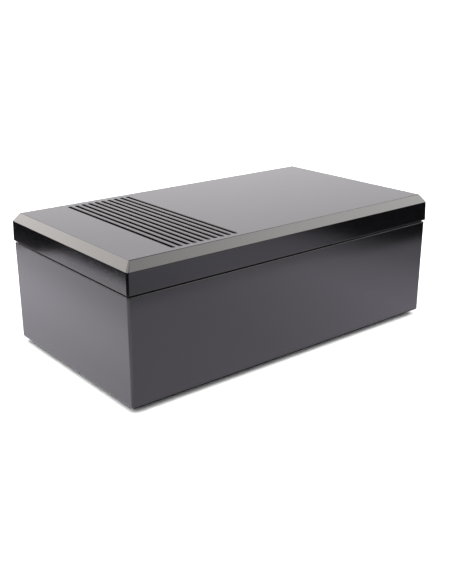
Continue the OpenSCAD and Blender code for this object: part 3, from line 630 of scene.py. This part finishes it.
def makeGrooveTree():
    # repeats the cutter along X, takes it out of the lid and adds the bosses
    tree = bpy.data.node_groups.new("groovedLid", "GeometryNodeTree")
    addSocket(tree, "Lid", "INPUT", "NodeSocketGeometry")
    addSocket(tree, "Cutter", "INPUT", "NodeSocketObject")
    addSocket(tree, "Bosses", "INPUT", "NodeSocketObject")
    addSocket(tree, "Count", "INPUT", "NodeSocketInt", 10, 1, 40)
    addSocket(tree, "Pitch", "INPUT", "NodeSocketFloat", 0.0035, 0.001, 0.02)
    addSocket(tree, "First", "INPUT", "NodeSocketVector")
    addSocket(tree, "Finish", "INPUT", "NodeSocketMaterial")
    addSocket(tree, "Geometry", "OUTPUT", "NodeSocketGeometry")
    source = addNode(tree, "NodeGroupInput", (-900, 0))
    sink = addNode(tree, "NodeGroupOutput", (900, 0))
    step = addNode(tree, "ShaderNodeCombineXYZ", (-650, -200))
    line = addNode(tree, "GeometryNodeMeshLine", (-450, -100))
    cutter = addNode(tree, "GeometryNodeObjectInfo", (-450, -350))
    bosses = addNode(tree, "GeometryNodeObjectInfo", (-150, 300))
    repeat = addNode(tree, "GeometryNodeInstanceOnPoints", (-200, -150))
    single = addNode(tree, "GeometryNodeRealizeInstances", (0, -150))
    join = addNode(tree, "GeometryNodeMeshBoolean", (100, 150), operation="UNION", solver="EXACT")
    cut = addNode(tree, "GeometryNodeMeshBoolean", (300, 0), operation="DIFFERENCE", solver="EXACT")
    whole = addNode(tree, "GeometryNodeRealizeInstances", (500, 0))
    paint = addNode(tree, "GeometryNodeSetMaterial", (700, 0))
    links = tree.links
    links.new(source.outputs["Pitch"], step.inputs["X"])
    links.new(source.outputs["Count"], line.inputs["Count"])
    links.new(source.outputs["First"], line.inputs["Start Location"])
    links.new(step.outputs["Vector"], line.inputs["Offset"])
    links.new(source.outputs["Cutter"], cutter.inputs["Object"])
    links.new(source.outputs["Bosses"], bosses.inputs["Object"])
    links.new(line.outputs["Mesh"], repeat.inputs["Points"])
    links.new(cutter.outputs["Geometry"], repeat.inputs["Instance"])
    links.new(repeat.outputs["Instances"], single.inputs["Geometry"])
    links.new(source.outputs["Lid"], join.inputs["Mesh 2"])
    links.new(bosses.outputs["Geometry"], join.inputs["Mesh 2"])
    links.new(join.outputs["Mesh"], cut.inputs["Mesh 1"])
    links.new(single.outputs["Geometry"], cut.inputs["Mesh 2"])
    links.new(cut.outputs["Mesh"], whole.inputs["Geometry"])
    links.new(whole.outputs["Geometry"], paint.inputs["Geometry"])
    links.new(source.outputs["Finish"], paint.inputs["Material"])
    links.new(paint.outputs["Geometry"], sink.inputs["Geometry"])
    return tree


def makeLid():
    lid = makeLidBlank(lidShape)
    cutter = makeGrooveCutter(grooves)
    bosses = makeLidBosses(lidBoss)
    middle = (grooves["backEnd"] - grooves["frontEnd"]) / 2
    runNodes(lid, makeGrooveTree(), {
        "Cutter": cutter,
        "Bosses": bosses,
        "Count": grooves["count"],
        "Pitch": grooves["pitch"],
        "First": (caseLow.x + grooves["first"], middle, lidHigh.z),
        "Finish": finishes["case_plastic"],
    })
    discard(cutter, bosses)
    shadeByAngle(lid, 40)
    return place(lid, "case", ["lid_shell"])


makeLid()
print("lid made")


# ---- base ----
baseEdges = {
    "bottom": 1.0 * mm,
    "seam": 0.35 * mm,
    "openings": 0.25 * mm,
    "corner": 1.3 * mm,      # radius of the upright corners
}


def makeBase(widths):
    bm = cadCopy("base_shell")
    near, corner = 0.02 * mm, widths["corner"]
    cornerX, cornerY = caseHigh.x - corner, caseHigh.y - corner

    def onRim(v):
        # on the outline of the case, seen from above
        x, y = abs(v.co.x), abs(v.co.y)
        if x > cornerX and y > cornerY:
            return abs(Vector((x - cornerX, y - cornerY)).length - corner) < near
        return caseHigh.x - x < near or caseHigh.y - y < near

    def level(e, z):
        return all(abs(v.co.z - z) < near and onRim(v) for v in e.verts)

    sharp = sharpEdges(bm)
    bottom = [e for e in sharp if level(e, caseLow.z)]
    seam = [e for e in sharp if level(e, caseHigh.z)]
    others = [
        e for e in sharp if e not in bottom and e not in seam and (
            all(abs(v.co.z - caseLow.z) < near for v in e.verts)
            or all(caseHigh.y - v.co.y < near for v in e.verts)
            or all(caseHigh.x - v.co.x < near for v in e.verts))
    ]
    keepBottom, keepSeam = set(bottom), set(seam)
    bevel(bm, others, widths["openings"], 2)
    bevel(bm, [e for e in keepBottom if e.is_valid], widths["bottom"], 5)
    bevel(bm, [e for e in keepSeam if e.is_valid], widths["seam"], 3)
    base = objectFrom(bm, "case_base")
    shadeByAngle(base, 40)
    return place(base, "case", ["base_shell"])


makeBase(baseEdges)
print("base made")


# ---- feet and closing screws, repeated by one tree ----
footShape = {
    "radius": 7 * mm, "edge": 0.6 * mm, "upperEdge": 0.1 * mm,
    "dish": 4.2 * mm, "dishDepth": 0.3 * mm, "dishSlope": 0.4 * mm,
}
screwShape = {
    "headRadius": 3.1 * mm, "headHeight": 2.4 * mm, "headEdge": 0.15 * mm,
    "crown": [(0.55, 0), (0.85, 0.35 * mm), (1, 0.95 * mm)],   # share of the head's radius, height
    "shankRadius": 1.75 * mm, "length": 28 * mm,
    "pointLength": 2 * mm, "pointRadius": 0.5 * mm, "pointEdge": 0.1 * mm,
    "recess": 1.9 * mm, "recessWidth": 0.8 * mm, "recessDepth": 1.3 * mm,
}


def makeCornerTree(name):
    # sets one made piece at the corners of a rectangle
    tree = bpy.data.node_groups.new(name, "GeometryNodeTree")
    addSocket(tree, "Piece", "INPUT", "NodeSocketGeometry")
    addSocket(tree, "Spacing X", "INPUT", "NodeSocketFloat", 0.1, 0.0, 1.0)
    addSocket(tree, "Spacing Y", "INPUT", "NodeSocketFloat", 0.1, 0.0, 1.0)
    addSocket(tree, "Finish", "INPUT", "NodeSocketMaterial")
    addSocket(tree, "Geometry", "OUTPUT", "NodeSocketGeometry")
    source = addNode(tree, "NodeGroupInput", (-700, 0))
    sink = addNode(tree, "NodeGroupOutput", (700, 0))
    corners = addNode(tree, "GeometryNodeMeshGrid", (-400, 100))
    corners.inputs["Vertices X"].default_value = 2
    corners.inputs["Vertices Y"].default_value = 2
    repeat = addNode(tree, "GeometryNodeInstanceOnPoints", (-100, 0))
    single = addNode(tree, "GeometryNodeRealizeInstances", (150, 0))
    paint = addNode(tree, "GeometryNodeSetMaterial", (400, 0))
    links = tree.links
    links.new(source.outputs["Spacing X"], corners.inputs["Size X"])
    links.new(source.outputs["Spacing Y"], corners.inputs["Size Y"])
    links.new(corners.outputs["Mesh"], repeat.inputs["Points"])
    links.new(source.outputs["Piece"], repeat.inputs["Instance"])
    links.new(repeat.outputs["Instances"], single.inputs["Geometry"])
    links.new(single.outputs["Geometry"], paint.inputs["Geometry"])
    links.new(source.outputs["Finish"], paint.inputs["Material"])
    links.new(paint.outputs["Geometry"], sink.inputs["Geometry"])
    return tree


def atCorners(piece, node, reach, tree):
    # the node's box gives the rectangle: its size less the piece's own reach
    low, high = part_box(node)
    runNodes(piece, tree, {
        "Spacing X": high.x - low.x - 2 * reach,
        "Spacing Y": high.y - low.y - 2 * reach,
        "Finish": finishes[slotOfNode[node]],
    })
    shadeByAngle(piece)
    return place(piece, "case", [node])


def makeFoot(shape):
    low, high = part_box("rubber_feet")
    edge, radius, upper = shape["edge"], shape["radius"], shape["upperEdge"]
    dished = low.z + shape["dishDepth"]
    path = [(0, dished), (shape["dish"] - shape["dishSlope"], dished), (shape["dish"], low.z)]
    path += [(radius - edge + edge * sin(a), low.z + edge - edge * cos(a)) for a in roundTurn]
    path += [(radius, high.z - upper), (radius - upper, high.z), (0, high.z)]
    bm = bmesh.new()
    lathe(bm, path, (0, 0), 48)
    return objectFrom(bm, "rubber_feet_set")


def makeCaseScrew(shape):
    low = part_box("case_screws")[0].z
    seat = low + shape["headHeight"]
    tip = seat + shape["length"]
    head, shank, edge = shape["headRadius"], shape["shankRadius"], shape["headEdge"]
    path = [(0, low)]
    path += [(head * share, low + rise) for share, rise in shape["crown"]]
    path += [(head, seat - edge), (head - edge, seat), (shank, seat)]
    path += [(shank, tip - shape["pointLength"]), (shape["pointRadius"], tip - shape["pointEdge"]), (0, tip)]
    bm = bmesh.new()
    lathe(bm, path, (0, 0), 32)
    screw = objectFrom(bm, "case_screw_set")
    bm = bmesh.new()
    for turn in (0, pi / 2):
        size = Matrix.Diagonal((2 * shape["recess"], shape["recessWidth"], 2 * shape["recessDepth"], 1))
        spot = Matrix.Translation((0, 0, low)) @ Matrix.Rotation(turn, 4, "Z") @ size
        bmesh.ops.create_cube(bm, size=1, matrix=spot)
    cross = objectFrom(bm, "crossRecess")
    cut = screw.modifiers.new("recess", "BOOLEAN")
    cut.object, cut.operation, cut.solver, cut.use_self = cross, "DIFFERENCE", "EXACT", True
    settle(screw, cut)
    discard(cross)
    return screw


cornerTree = makeCornerTree("fourCorners")
atCorners(makeFoot(footShape), "rubber_feet", footShape["radius"], cornerTree)
atCorners(makeCaseScrew(screwShape), "case_screws", screwShape["headRadius"], cornerTree)
print("feet and closing screws made")


# ---- fittings on the back, the end and the underside ----
fittings = {
    # node: (piece name, body, width of its edge rounding)
    "inlet_housing": ("mains_inlet", "case", 0.3 * mm),
    "inlet_pins": ("mains_inlet_pins", "case", 0.2 * mm),
    "inlet_screws": ("mains_inlet_screws", "case", 0.08 * mm),
    "fuse_holder": ("fuse_holder_body", "case", 0.3 * mm),
    "fuse_cap": ("fuse_bayonet_cap", "fuse_cap", 0.2 * mm),
    "button_bushing": ("push_button_bushing", "case", 0.2 * mm),
    "button_cap": ("push_button_cap", "button", 0.25 * mm),
    "pilot_bezel": ("pilot_lamp_bezel", "case", 0.15 * mm),
    "pilot_lens": ("pilot_lamp_lens", "case", 0.12 * mm),
    "rating_plate": ("blank_rating_plate", "case", 0.06 * mm),
}
for node, (name, body, width) in fittings.items():
    softenedPiece(node, name, body, width)
print("fittings made")


# ---- everything else keeps its CAD shape and takes its finish ----
for name, piece in frame["nodes"].items():
    if piece.hide_render:
        continue
    piece.data.materials.clear()
    piece.data.materials.append(finishes[slotOfNode[name]])
print("inner parts finished")


# ---- studio ----
def emitter(name, glow, low, high, colour):
    # glow: (share of the way across on X, strength) stops
    material = bpy.data.materials.new(name)
    material.use_nodes = True
    tree = material.node_tree
    tree.nodes.clear()
    peak = max(strength for _, strength in glow)
    coords = addNode(tree, "ShaderNodeTexCoord", (-900, 0))
    split = addNode(tree, "ShaderNodeSeparateXYZ", (-700, 0))
    share = addNode(tree, "ShaderNodeMapRange", (-500, 0))
    share.inputs["From Min"].default_value = low
    share.inputs["From Max"].default_value = high
    ramp = addNode(tree, "ShaderNodeValToRGB", (-300, 0))
    stops = ramp.color_ramp.elements
    while len(stops) < len(glow):
        stops.new(0.5)
    for stop, (at, strength) in zip(stops, glow):
        stop.position = at
        stop.color = (strength / peak, strength / peak, strength / peak, 1)
    tint = addNode(tree, "ShaderNodeMix", (0, 0), data_type="RGBA", blend_type="MULTIPLY")
    tint.inputs["Factor"].default_value = 1
    tint.inputs["B"].default_value = (*colour, 1)
    lamp = addNode(tree, "ShaderNodeEmission", (200, 0))
    lamp.inputs["Strength"].default_value = peak
    output = addNode(tree, "ShaderNodeOutputMaterial", (400, 0))
    tree.links.new(coords.outputs["Object"], split.inputs["Vector"])
    tree.links.new(split.outputs["X"], share.inputs["Value"])
    tree.links.new(share.outputs["Result"], ramp.inputs["Fac"])
    tree.links.new(ramp.outputs["Color"], tint.inputs["A"])
    tree.links.new(tint.outputs["Result"], lamp.inputs["Color"])
    tree.links.new(lamp.outputs["Emission"], output.inputs["Surface"])
    return material


def makeCard(name, corners, glow, colour):
    # a reflector that only gloss sees
    bm = bmesh.new()
    bm.faces.new([bm.verts.new(c) for c in corners])
    card = objectFrom(bm, name)
    across = [c[0] for c in corners]
    card.data.materials.append(emitter(name, glow, min(across), max(across), colour))
    card.visible_camera = False
    card.visible_diffuse = False
    card.visible_shadow = False
    card.visible_transmission = False
    return card


skyTint = (1.0, 0.975, 1.01)
floorTint = (1.0, 0.965, 1.05)
frontTint = (0.99, 0.945, 1.065)
softboxes = {
    # name: azimuth clockwise from +Y, elevation, distance, width, height, glow along X, colour
    "backRightSoftbox": (39, 15, 0.9, 0.75, 0.28, [(0, 1.5), (0.5, 1.42), (1, 1.15)], skyTint),
    "upperBackSoftbox": (39, 32, 0.9, 0.75, 0.27,
                         [(0, 1.55), (0.4, 1.75), (0.7, 2.1), (1, 1.8)], skyTint),
    "backLeftSoftbox": (-27, 32, 0.9, 0.58, 0.45, [(0, 5.6), (1, 5.6)], (1, 0.955, 0.92)),
    "frontRightSoftbox": (128, 40, 0.9, 0.7, 0.4,
                          [(0, 3.2), (0.1, 3.6), (0.5, 5.9), (1, 6.1)], (1, 0.985, 0.955)),
    "overheadSoftbox": (-101, 68, 0.9, 1.0, 0.75, [(0, 5.5), (1, 5.5)], (1, 0.975, 0.95)),
    "lowLeftSoftbox": (-135, 22, 0.95, 0.8, 0.4, [(0, 1.4), (1, 1.4)], (1.0, 0.975, 1.015)),
}
bounces = {
    # name: glow along X, colour, outline on the floor
    "leftBounce": ([(0, 1.9), (0.32, 1.9), (0.5, 1.6), (0.59, 1.75),
                    (0.7, 2.0), (0.8, 1.95), (0.9, 1.72), (1, 1.58)], floorTint, [
        (-0.0872, -0.185), (-0.0872, 0.30), (-0.148, 0.30), (-0.157, 0.192), (-0.179, 0.176), (-0.182, 0.09),
        (-0.21, 0.015), (-0.228, -0.052), (-0.207, -0.122), (-0.153, -0.171)]),
    "frontBounce": ([(0, 1.4), (0.3, 1.42), (0.6, 1.7), (0.72, 1.45), (0.85, 1.0), (1, 0.85)], frontTint, [
        (-0.0872, -0.0505), (-0.0872, -0.150), (0.11, -0.150), (0.14, -0.138),
        (0.208, -0.133), (0.20, -0.0505)]),
    "middleFrontBounce": ([(0, 0.9), (0.25, 0.95), (0.45, 1.2), (0.7, 0.9),
                           (0.78, 0.45), (0.86, 0.03), (1, 0)], frontTint, [
        (-0.0872, -0.150), (-0.0872, -0.177), (0.23, -0.177), (0.208, -0.133),
        (0.14, -0.138), (0.11, -0.150)]),
    "farFrontBounce": ([(0, 0.9), (0.3, 0.95), (0.5, 1.2), (0.72, 1.1),
                        (0.82, 0.6), (0.87, 0.05), (1, 0)], frontTint, [
        (-0.0872, -0.177), (-0.0872, -0.27), (0.23, -0.27), (0.23, -0.177)]),
    "rightBounce": ([(0, 1.1), (1, 1.1)], floorTint, [
        (0.0885, -0.043), (0.30, -0.043), (0.30, 0.30), (0.0885, 0.30)]),
    "backBounce": ([(0, 1.1), (1, 1.1)], floorTint, [
        (-0.0872, 0.045), (0.0885, 0.045), (0.0885, 0.30), (-0.0872, 0.30)]),
}
studio = {
    "floorTone": (0.92, 0.92, 0.92),
    "floorReach": 4,
    "skyOverhead": 3.3,
    "skyAtHorizon": 0.03,
    "skyShown": 1.9,
    "glossOverhead": 0.5,
    "glossAtHorizon": 0.01,
    "skyClimb": (0.08, 0.85),    # heights between which the light grows from horizon to overhead
    "glossClimb": (0.1, 0.5),
    "bounceHeight": 0.5 * mm,
    "keyEnergy": 5,
    "keySize": 0.9,
    "keyPlace": (-0.5, -0.3, 1.1),
}


def makeSoftbox(name, azimuth, elevation, distance, width, height, glow, colour):
    turn, tilt = radians(azimuth), radians(elevation)
    away = Vector((sin(turn) * cos(tilt), cos(turn) * cos(tilt), sin(tilt)))
    side = Vector((cos(turn), -sin(turn), 0))
    up = side.cross(away)
    centre = away * distance
    corners = [centre + side * (i * width / 2) + up * (j * height / 2)
               for i, j in ((-1, -1), (1, -1), (1, 1), (-1, 1))]
    return makeCard(name, corners, glow, colour)


def makeFloor():
    bm = bmesh.new()
    bmesh.ops.create_grid(bm, x_segments=1, y_segments=1, size=studio["floorReach"])
    floor = objectFrom(bm, "floor")
    material, _, shader = startMaterial("floorPaper")
    shader.inputs["Base Color"].default_value = (*studio["floorTone"], 1)
    shader.inputs["Roughness"].default_value = 0.9
    shader.inputs["Specular IOR Level"].default_value = 0.0
    floor.data.materials.append(material)
    floor.visible_glossy = False


def skyRamp(tree, spot, climb, low, high):
    node = addNode(tree, "ShaderNodeMapRange", spot, interpolation_type="SMOOTHSTEP")
    node.inputs["From Min"].default_value, node.inputs["From Max"].default_value = climb
    node.inputs["To Min"].default_value, node.inputs["To Max"].default_value = low, high
    return node


def makeSky():
    # white behind the object, soft light from overhead, and in reflections only a faint upper sky
    world = bpy.data.worlds.new("studioSky")
    world.use_nodes = True
    tree = world.node_tree
    tree.nodes.clear()
    rays = addNode(tree, "ShaderNodeLightPath", (-700, 300))
    coords = addNode(tree, "ShaderNodeTexCoord", (-900, 0))
    split = addNode(tree, "ShaderNodeSeparateXYZ", (-700, 0))
    climb = skyRamp(tree, (-500, 0), studio["skyClimb"], studio["skyAtHorizon"], studio["skyOverhead"])
    shown = addNode(tree, "ShaderNodeMix", (-250, 100))
    shown.inputs["B"].default_value = studio["skyShown"]
    glossy = addNode(tree, "ShaderNodeMix", (-50, 100))
    seen = skyRamp(tree, (-500, -250), studio["glossClimb"], studio["glossAtHorizon"],
                   studio["glossOverhead"])
    sky = addNode(tree, "ShaderNodeBackground", (150, 0))
    output = addNode(tree, "ShaderNodeOutputWorld", (350, 0))
    tree.links.new(coords.outputs["Generated"], split.inputs["Vector"])
    tree.links.new(split.outputs["Z"], climb.inputs["Value"])
    tree.links.new(split.outputs["Z"], seen.inputs["Value"])
    tree.links.new(seen.outputs["Result"], glossy.inputs["B"])
    tree.links.new(rays.outputs["Is Camera Ray"], shown.inputs["Factor"])
    tree.links.new(climb.outputs["Result"], shown.inputs["A"])
    tree.links.new(rays.outputs["Is Glossy Ray"], glossy.inputs["Factor"])
    tree.links.new(shown.outputs["Result"], glossy.inputs["A"])
    tree.links.new(glossy.outputs["Result"], sky.inputs["Strength"])
    tree.links.new(sky.outputs["Background"], output.inputs["Surface"])
    bpy.context.scene.world = world


def makeKey():
    data = bpy.data.lights.new("keySoftbox", "AREA")
    data.shape, data.size, data.energy = "SQUARE", studio["keySize"], studio["keyEnergy"]
    light = bpy.data.objects.new("keySoftbox", data)
    light.location = studio["keyPlace"]
    light.rotation_mode = "QUATERNION"
    light.rotation_quaternion = (-Vector(studio["keyPlace"])).to_track_quat("-Z", "Y")
    light.visible_glossy = False
    bpy.context.scene.collection.objects.link(light)


makeFloor()
makeSky()
makeKey()
for name, setting in softboxes.items():
    makeSoftbox(name, *setting)
for name, (glow, colour, outline) in bounces.items():
    makeCard(name, [(x, y, studio["bounceHeight"]) for x, y in outline], glow, colour)
bpy.context.scene.view_settings.view_transform = "Standard"
print("studio made")
